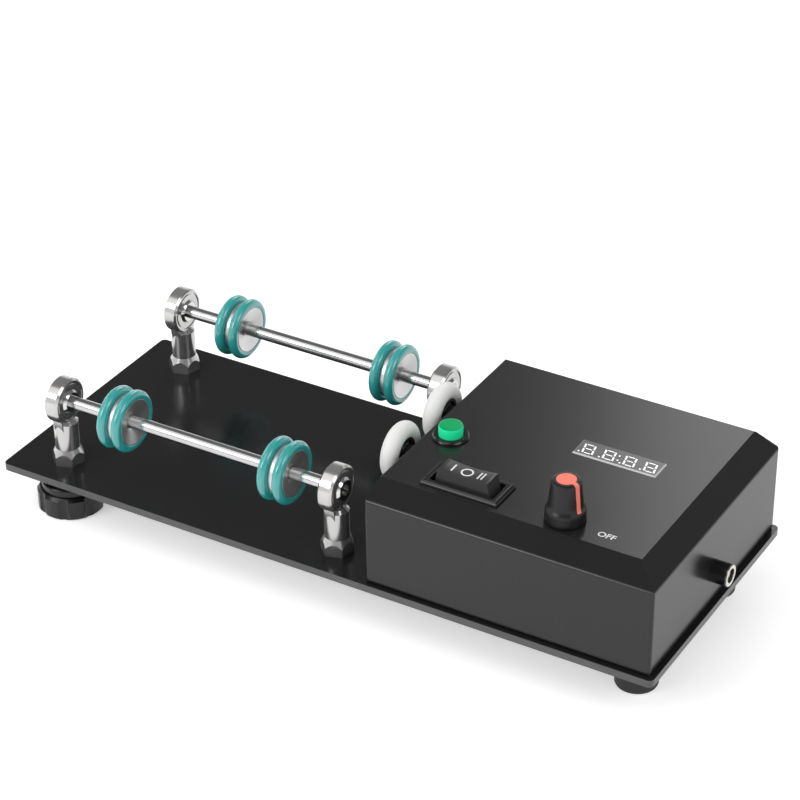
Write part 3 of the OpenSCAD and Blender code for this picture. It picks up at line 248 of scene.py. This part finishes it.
def turned(name, colour, rough, metal=1.0, stretch=(1, 1, 1), bump=0.05, axis=None):
    """Turned or ground metal: tool marks across the stretch, or rings round an axis."""
    made = Finish(name, Metallic=metal)
    place = made.round_axis(*axis) if axis else made.stretched(stretch)
    marks = made.noise(scale=900, vector=place)
    tone = marks if axis else made.noise(scale=60)
    made.colour(tone, shade(colour, 0.86), colour)
    made.gloss(tone, rough - 0.015, rough + 0.03)
    made.relief(marks, bump, mm(0.01))
    return made


def rubber(name, colour, rough, spread=0.14, specular=0.5, bump=0.08, coat=0.0):
    """Moulded rubber, with a wet gloss where it has a coat."""
    made = Finish(
        name, Specular_IOR_Level=specular, Coat_Weight=coat, Coat_Roughness=0.12
    )
    drift = made.noise(scale=90)
    made.colour(drift, shade(colour, 1 - spread), colour)
    made.gloss(drift, rough - 0.02, rough + 0.03)
    made.relief(made.noise(scale=1800, detail=2), bump, mm(0.02))
    return made


def translucent_cap():
    """Green moulded cap: deep at the top; its side is painted paler, a painted light
    standing for light coming through it.
    """
    made = Finish("green_translucent", Specular_IOR_Level=0.16, Subsurface_Weight=0.25)
    made.shader.inputs["Subsurface Radius"].default_value = (0.0006, 0.003, 0.0018)
    made.shader.inputs["Subsurface Scale"].default_value = 1.0
    drift = made.noise(scale=110)
    top = made.mixed(drift, linear(0, 160, 90), linear(0, 174, 102))
    # painted light: a paler green for the side, as if lit through
    side = made.mixed(drift, linear(36, 246, 170), linear(48, 255, 184))
    # painted light: faces looking up get the top's deeper green, the rest the paler side
    made.colour(made.ramp(made.facing("Z"), 0.0, 1.0, 0.35, 0.9), side, top)
    made.gloss(drift, 0.24, 0.32)
    return made


def black_sheet():
    """Coated aluminium sheet: near black face; its edge faces are painted paler, a painted
    reflection of the light the edge catches.
    """
    made = Finish("black_sheet", Specular_IOR_Level=0.32)
    drift = made.noise(scale=26, detail=4)
    brushed = made.noise(scale=1500, vector=made.stretched((1.0, 6.0, 6.0)))
    face = made.mixed(drift, linear(25, 25, 26), linear(32, 32, 33))
    # painted reflection: a paler colour on the edge faces in place of the light they
    # reflect
    painted_light_edge = made.mixed(drift, linear(74, 74, 75), linear(104, 104, 105))
    level = made.maths("ABSOLUTE", made.facing("Z"))
    made.colour(made.ramp(level, 0.0, 1.0, 0.2, 0.8), painted_light_edge, face)
    made.gloss(brushed, 0.15, 0.23)
    made.relief(brushed, 0.03, mm(0.01))
    return made


def window_sheet():
    """Grey smoked window whose cut edges are painted near white and made to glow: painted
    light, as the window is no lamp.
    """
    made = Finish(
        "smoked_acrylic", Specular_IOR_Level=0.4, Roughness=0.2, Emission_Strength=0.45
    )
    grain = made.noise(scale=700, detail=2)
    face = made.mixed(grain, grey(92), grey(100))
    # painted light: the cut edges get a near white colour and a glow
    painted_light_edge = made.ramp(made.facing("Z"), 1.0, 0.0, 0.35, 0.95)
    made.colour(painted_light_edge, face, grey(245))
    made.link(
        made.mixed(painted_light_edge, grey(0), grey(255)), made.shader.inputs["Emission Color"]
    )
    made.relief(grain, 0.03, mm(0.01))
    return made


def board_sheet():
    """Solder masked circuit board with copper tracks and pads."""
    made = Finish("solder_mask", Specular_IOR_Level=0.5)
    tracks = made.node("ShaderNodeTexBrick", offset=0.37, squash=0.7)
    tracks.inputs["Scale"].default_value = 330
    tracks.inputs["Mortar Size"].default_value = 0.035
    tracks.inputs["Color1"].default_value = linear(22, 84, 52)
    tracks.inputs["Color2"].default_value = linear(26, 94, 58)
    tracks.inputs["Mortar"].default_value = linear(46, 128, 84)
    made.link(made.place, tracks.inputs["Vector"])
    made.link(tracks.outputs["Color"], made.shader.inputs["Base Color"])
    made.gloss(made.noise(scale=300), 0.28, 0.4)
    made.relief(tracks.outputs["Fac"], 0.2, mm(0.04))
    return made


# One finish for each material slot of the CAD model
finishes = {
    "black_plate": black_sheet(),
    "case_plastic": moulded("case_moulding", grey(32), 0.22, bump=0.04, specular=0.41),
    "fastener_steel": turned("zinc_steel", linear(150, 150, 148), 0.34),
    "rod_end_steel": turned(
        "chromed_steel", linear(204, 203, 202), 0.18, metal=0.86, bump=0.004
    ),
    "ball_steel": turned("bearing_steel", linear(214, 214, 213), 0.12, bump=0.004),
    "shaft_steel": turned(
        "ground_steel", grey(200), 0.17, stretch=(3, 1, 1), bump=0.003
    ),
    "hub_aluminium": turned(
        "turned_aluminium",
        linear(214, 213, 214),
        0.3,
        metal=0.85,
        bump=0.03,
        axis=HUB_AXIS,
    ),
    "teal_rubber": rubber(
        "teal_ring_rubber", linear(44, 168, 164), 0.24, 0.06, 0.9, bump=0.01, coat=0.7
    ),
    "white_rubber": rubber("white_tyre_rubber", linear(240, 240, 238), 0.42, 0.05),
    "black_plastic": moulded(
        "black_moulding", linear(28, 28, 29), 0.34, bump=0.08, spread=0.3
    ),
    "gloss_black": moulded(
        "gloss_moulding", linear(27, 27, 28), 0.16, bump=0.02, specular=0.5
    ),
    "green_cap": translucent_cap(),
    "red_marker": moulded(
        "red_moulding", linear(255, 130, 110), 0.45, bump=0.04, spread=0.08
    ),
    "smoked_window": window_sheet(),
    "cream_plastic": moulded(
        "cream_moulding", linear(226, 218, 196), 0.38, spread=0.08
    ),
    "gear_brass": turned("sintered_brass", linear(205, 160, 88), 0.34),
    "motor_can": turned(
        "motor_can_zinc", linear(168, 170, 172), 0.3, stretch=(6, 1, 1)
    ),
    "bracket_metal": turned("bracket_zinc", linear(188, 190, 192), 0.36),
    "circuit_board": board_sheet(),
    "foot_rubber": rubber("foot_black_rubber", grey(58), 0.6, 0.2, 0.3),
    "plated_contact": turned("nickel_plate", linear(224, 222, 214), 0.2),
}

slot_of = {}
for name, obj in nodes.items():
    for holder in obj.material_slots:
        slot_of[name] = holder.material.name.split(".")[0]
        holder.material = finishes[slot_of[name]].material

# The paddle's satin face is paler than its gloss bezel, a grey that is partly its own
# colour and partly a painted reflection of the light its hollow top catches; the hand
# knobs are blacker
own_finishes = {
    "rocker_paddle": moulded("satin_moulding", grey(52), 0.4, bump=0.05, specular=0.5)
}
for row in ROWS:
    own_finishes[f"{row}_levelling_knob"] = moulded(
        f"{row}_hand_knob", grey(17), 0.26, bump=0.05, specular=0.45
    )
for name, finish in own_finishes.items():
    nodes[name].material_slots[0].material = finish.material

white_ink = moulded("white_ink", grey(236), 0.5, bump=0.05, spread=0.05)
lit_figure = Finish(
    "lit_figure", Roughness=0.4, Emission_Color=grey(250), Emission_Strength=0.35
)
lit_figure.colour(lit_figure.noise(scale=900), grey(246), grey(255))


# Rounded edges ----------------------------------------------------------------

# Width of the rounding, in mm
EDGE_WIDTHS = {
    "base_plate": 0.25,
    "control_case": 0.6,
    "rocker_housing": 0.3,
    "rocker_paddle": 0.3,
    "start_button_housing": 0.2,
    "start_button_cap": 0.35,
    "speed_knob": 0.25,
    **{f"{row}_{side}_hub": 0.35 for row in ROWS for side in ("left", "right")},
}
SHARP_ANGLE = math.radians(35)


def soften(obj, width):
    """Welds the solid's shared edges and rounds the sharp ones."""
    weld = obj.modifiers.new("weld", "WELD")
    weld.merge_threshold = mm(0.001)
    bevel = obj.modifiers.new("rounding", "BEVEL")
    bevel.width = width
    bevel.segments = 2
    bevel.limit_method = "ANGLE"
    bevel.angle_limit = SHARP_ANGLE
    bevel.harden_normals = True


for name, width in EDGE_WIDTHS.items():
    soften(nodes[name], mm(width))


# Printing and lit figures -------------------------------------------------------

MARK_LIFT = mm(0.02)
MARK_THICKNESS = mm(0.02)


def add_piece(name, shape, material, body):
    """Turns a closed bmesh into a piece of the scene that rides a body."""
    bmesh.ops.recalc_face_normals(shape, faces=shape.faces)
    mesh = bpy.data.meshes.new(name)
    shape.to_mesh(mesh)
    shape.free()
    mesh.materials.append(material)
    obj = add_object(name, mesh)
    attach(obj, body)
    return obj


def flat_marks(name, outlines, height, finish, body):
    """Each closed outline becomes a thin prism on the surface height(x, y)."""
    shape = bmesh.new()
    for outline in outlines:
        low, high = (
            [shape.verts.new((x, y, height(x, y) + lift)) for x, y in outline]
            for lift in (0.0, MARK_THICKNESS)
        )
        shape.faces.new(high)
        shape.faces.new(low[::-1])
        for i in range(len(low)):
            j = (i + 1) % len(low)
            shape.faces.new((low[i], low[j], high[j], high[i]))
    add_piece(name, shape, finish.material, body)


# OFF beside the speed knob
letters = bpy.data.curves.new("off_mark", "FONT")
letters.body = "OFF"
letters.size = mm(3.9)
letters.align_x = "CENTER"
letters.align_y = "CENTER"
letters.extrude = mm(0.015)
letters.offset = mm(0.06)
letters.materials.append(white_ink.material)
off_mark = add_object("off_mark", letters)
off_at = on_plate(246.7, 19.2)
off_mark.location = (off_at.x, off_at.y, panel_z + MARK_LIFT)
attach(off_mark, "base")

# Four lit figures with their points and the colon. Places and sizes are in mm, as on
# the plate, with the window's middle at FIGURES_MIDDLE
FIGURES_MIDDLE = on_plate(228.57, 65.1)
FIGURE_LEFTS = (213.93, 222.06, 230.26, 238.33)
FIGURE_TOP, FIGURE_H, FIGURE_W = 67.4, 5.8, 4.5
FIGURE_SLANT = 1.1
UPRIGHT_BAR, LEVEL_BAR = 0.66, 0.46
BAR_GAP, BAR_INSET = 0.34, 0.15
POINT_HALF, POINT_BEFORE, POINT_DROP = 0.34, 1.15, FIGURE_H - 0.3
COLON_X, COLON_DROPS = 228.0, (1.45, 4.25)
shift = (window_low + window_high) / 2 - FIGURES_MIDDLE


def slanted_bar(x1, drop1, x2, drop2):
    """Bar between two distances from the left and from the figures' top, in mm."""
    corners = []
    for x, drop in ((x1, drop1), (x2, drop1), (x2, drop2), (x1, drop2)):
        p = on_plate(x + FIGURE_SLANT * drop / FIGURE_H, FIGURE_TOP - drop) + shift
        corners.append((p.x, p.y))
    return corners


def figure_bars(left):
    """The seven bars of a figure eight."""
    middle = FIGURE_H / 2
    bars = []
    for x in (left, left + FIGURE_W - UPRIGHT_BAR):
        end = x + UPRIGHT_BAR
        bars.append(slanted_bar(x, BAR_INSET, end, middle - BAR_GAP))
        bars.append(slanted_bar(x, middle + BAR_GAP, end, FIGURE_H - BAR_INSET))
    inner = UPRIGHT_BAR + BAR_GAP
    for drop in (0, middle - LEVEL_BAR / 2, FIGURE_H - LEVEL_BAR):
        bars.append(
            slanted_bar(left + inner, drop, left + FIGURE_W - inner, drop + LEVEL_BAR)
        )
    return bars


def window_face(x, y):
    return window_high.z + mm(0.01)


figures = [bar for left in FIGURE_LEFTS for bar in figure_bars(left)]
points = [(left - POINT_BEFORE, POINT_DROP) for left in FIGURE_LEFTS]
points += [(COLON_X, drop) for drop in COLON_DROPS]
for x, drop in points:
    top, bottom = drop - POINT_HALF, drop + POINT_HALF
    figures.append(slanted_bar(x - POINT_HALF, top, x + POINT_HALF, bottom))
flat_marks("display_figures", figures, window_face, lit_figure, "base")

# Rocker marks I, O and II on the hollow top of the rocker
paddle_centre = (paddle_low + paddle_high) / 2
PADDLE_HALF, HOLLOW = mm(9.95), mm(0.9)
HOLLOW_RADIUS = (PADDLE_HALF**2 + HOLLOW**2) / (2 * HOLLOW)
MARKS_Y = paddle_centre.y + mm(0.35)
MARKS_LENGTH = mm(4.2)


def hollow_top(x, y):
    reach = min(abs(x - paddle_centre.x), PADDLE_HALF)
    rise = HOLLOW_RADIUS - math.sqrt(HOLLOW_RADIUS**2 - reach**2)
    return paddle_high.z - HOLLOW + rise + MARK_LIFT


def upright_mark(x, width):
    """A bar at x mm from the rocker's middle."""
    left, right = (paddle_centre.x + mm(x + s * width / 2) for s in (-1, 1))
    low, high = MARKS_Y - MARKS_LENGTH / 2, MARKS_Y + MARKS_LENGTH / 2
    return [(right, low), (right, high), (left, high), (left, low)]


def ring_mark(x, radius, width, steps=40):
    """A flat ring at x mm from the rocker's middle, as a row of quadrilaterals."""
    centre = paddle_centre.x + mm(x)
    inner, outer = mm(radius - width / 2), mm(radius + width / 2)
    out = []
    for i in range(steps):
        a, b = (2 * math.pi * k / steps for k in (i, i + 1))
        out.append(
            [
                (centre + r * math.cos(angle), MARKS_Y + r * math.sin(angle))
                for r, angle in ((inner, a), (outer, a), (outer, b), (inner, b))
            ]
        )
    return out


marks = [
    upright_mark(-5.8, 0.62),
    *ring_mark(-0.35, 2.05, 0.62),
    upright_mark(4.63, 0.6),
    upright_mark(6.07, 0.6),
]
flat_marks("rocker_marks", marks, hollow_top, white_ink, "rocker")


# The start button's return spring -----------------------------------------------

WIRE_R = mm(0.3)
COIL_TURNS, COIL_STEPS, COIL_SIDES = 5, 40, 12
# Rise of each closed end turn
END_RISE = 2.3 * WIRE_R


def coil_height(turn, rise):
    """Height along the coil: its end turns lie close, and the rest rise evenly."""
    if turn <= 1:
        return END_RISE * turn
    if turn >= COIL_TURNS - 1:
        return rise - END_RISE * (COIL_TURNS - turn)
    return END_RISE + (rise - 2 * END_RISE) * (turn - 1) / (COIL_TURNS - 2)


def return_spring():
    """A coil in place of the plain solid."""
    low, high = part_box("start_button_spring")
    centre = (low + high) / 2
    coil_r = (high.x - low.x) / 2 - WIRE_R
    rise = high.z - low.z - 2 * WIRE_R
    shape = bmesh.new()
    rings = []
    for i in range(COIL_TURNS * COIL_STEPS + 1):
        a = 2 * math.pi * i / COIL_STEPS
        z = low.z + WIRE_R + coil_height(i / COIL_STEPS, rise)
        ring = []
        for j in range(COIL_SIDES):
            b = 2 * math.pi * j / COIL_SIDES
            r = coil_r + WIRE_R * math.cos(b)
            x, y = centre.x + r * math.cos(a), centre.y + r * math.sin(a)
            ring.append(shape.verts.new((x, y, z + WIRE_R * math.sin(b))))
        rings.append(ring)
    for first, second in zip(rings, rings[1:]):
        for j in range(COIL_SIDES):
            k = (j + 1) % COIL_SIDES
            side = shape.faces.new((first[j], first[k], second[k], second[j]))
            side.smooth = True
    shape.faces.new(rings[0])
    shape.faces.new(rings[-1][::-1])

    slot = slot_of["start_button_spring"]
    obj = add_piece("return_spring", shape, finishes[slot].material, "base")
    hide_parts("start_button_spring")
    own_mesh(obj)


return_spring()


# Studio -----------------------------------------------------------------------

FLOOR_HALF = 6.0


def seen_directly(shader_tree):
    """1 for camera, glossy and transmission rays, 0 for the light they don't carry."""
    path = shader_tree.node("ShaderNodeLightPath").outputs
    largest = shader_tree.maths(
        "MAXIMUM", path["Is Camera Ray"], path["Is Glossy Ray"]
    )
    return shader_tree.maths("MAXIMUM", largest, path["Is Transmission Ray"])


# The camera sees white paper all round. Glossy rays see it near the floor, and a dim
# ceiling above, as in a small studio; the rest is an even fill
world = bpy.data.worlds.new("studio")
bpy.context.scene.world = world
world.use_nodes = True
sky = ShaderTree(world.node_tree)
up_down = sky.axes(sky.node("ShaderNodeTexCoord").outputs["Generated"])["Z"]
ceiling = sky.ramp(up_down, low=1.0, high=0.2, start=0.12, end=0.42)
fill = sky.between(seen_directly(sky), 0.5, ceiling)
camera_ray = sky.node("ShaderNodeLightPath").outputs["Is Camera Ray"]
background = sky.tree.nodes["Background"]
background.inputs["Color"].default_value = (1, 1, 1, 1)
sky.link(sky.between(camera_ray, fill, 1.0), background.inputs["Strength"])

# White paper floor, which glows a little for the rays that see it
floor_mesh = bpy.data.meshes.new("floor")
floor_mesh.from_pydata(
    [
        (x * FLOOR_HALF, y * FLOOR_HALF, floor_z)
        for x, y in ((-1, -1), (1, -1), (1, 1), (-1, 1))
    ],
    [],
    [(0, 1, 2, 3)],
)
floor = add_object("floor", floor_mesh)
paper_material = bpy.data.materials.new("paper")
paper_material.use_nodes = True
paper = ShaderTree(paper_material.node_tree)
sheet = paper.tree.nodes["Principled BSDF"]
sheet.inputs["Base Color"].default_value = (0.82, 0.82, 0.82, 1)
sheet.inputs["Roughness"].default_value = 1.0
sheet.inputs["Specular IOR Level"].default_value = 0.0
glow = paper.node("ShaderNodeEmission")
glow_strength = paper.maths("MULTIPLY", seen_directly(paper), 0.48)
paper.link(glow_strength, glow.inputs["Strength"])
both = paper.node("ShaderNodeAddShader")
paper.link(sheet.outputs["BSDF"], both.inputs[0])
paper.link(glow.outputs["Emission"], both.inputs[1])
paper.link(
    both.outputs["Shader"], paper.tree.nodes["Material Output"].inputs["Surface"]
)
floor_mesh.materials.append(paper_material)


def softbox(name, place, width, height, power, target=(0, 0, 0)):
    """A rectangular lamp that faces a point, its power in watts."""
    lamp = bpy.data.lights.new(name, "AREA")
    lamp.shape = "RECTANGLE"
    lamp.size = width
    lamp.size_y = height
    lamp.energy = power
    obj = add_object(name, lamp)
    obj.location = place
    aim = Vector(target) - Vector(place)
    obj.rotation_euler = aim.to_track_quat("-Z", "Y").to_euler()


def around(azimuth, elevation, distance):
    """Place on a sphere round the part, in degrees; azimuth goes from back to right."""
    a, e = math.radians(azimuth), math.radians(elevation)
    return (
        distance * math.sin(a) * math.cos(e),
        distance * math.cos(a) * math.cos(e),
        distance * math.sin(e),
    )


softbox("back_panel", (-0.52, 2.44, 1.7), 0.95, 1.45, 11.8, target=(0.08, -0.04, 0.06))
softbox("left_panel", around(-84, 26, 1.7), 0.7, 0.5, 1.8)
softbox("front_key", around(-150, 31, 1.5), 0.6, 0.5, 6.5, target=(0, 0, 0.03))
softbox("front_panel", around(-148, 56, 1.5), 1.3, 0.9, 4.4)
softbox("right_fill", around(100, 40, 1.6), 0.8, 0.8, 5.4)

# Camera at the photograph's place, with the photograph's square frame. The angles are
# in radians: azimuth from the front to the right, elevation from the level
AZIMUTH, ELEVATION, ROLL = 0.525381152, 0.550877419, -0.00256901836
DISTANCE = 1.08545274
TARGET = on_plate(110.495896, 122.642598)
cam = bpy.data.cameras.new("camera")
cam.sensor_width = 36.0
cam.lens = 122.54
cam.shift_x = -0.01665
cam.shift_y = -0.00972
cam.clip_end = 20.0
camera = add_object("camera", cam)
back = Vector(
    (
        math.sin(AZIMUTH) * math.cos(ELEVATION),
        -math.cos(AZIMUTH) * math.cos(ELEVATION),
        math.sin(ELEVATION),
    )
)
right = Vector((0, 0, 1)).cross(back).normalized()
up = back.cross(right)
right_rolled = right * math.cos(ROLL) + up * math.sin(ROLL)
up_rolled = up * math.cos(ROLL) - right * math.sin(ROLL)
turn = Matrix((right_rolled, up_rolled, back)).transposed().to_4x4()
camera.matrix_world = Matrix.Translation(TARGET + back * DISTANCE) @ turn
bpy.context.scene.camera = camera
bpy.context.scene.view_settings.view_transform = "Standard"
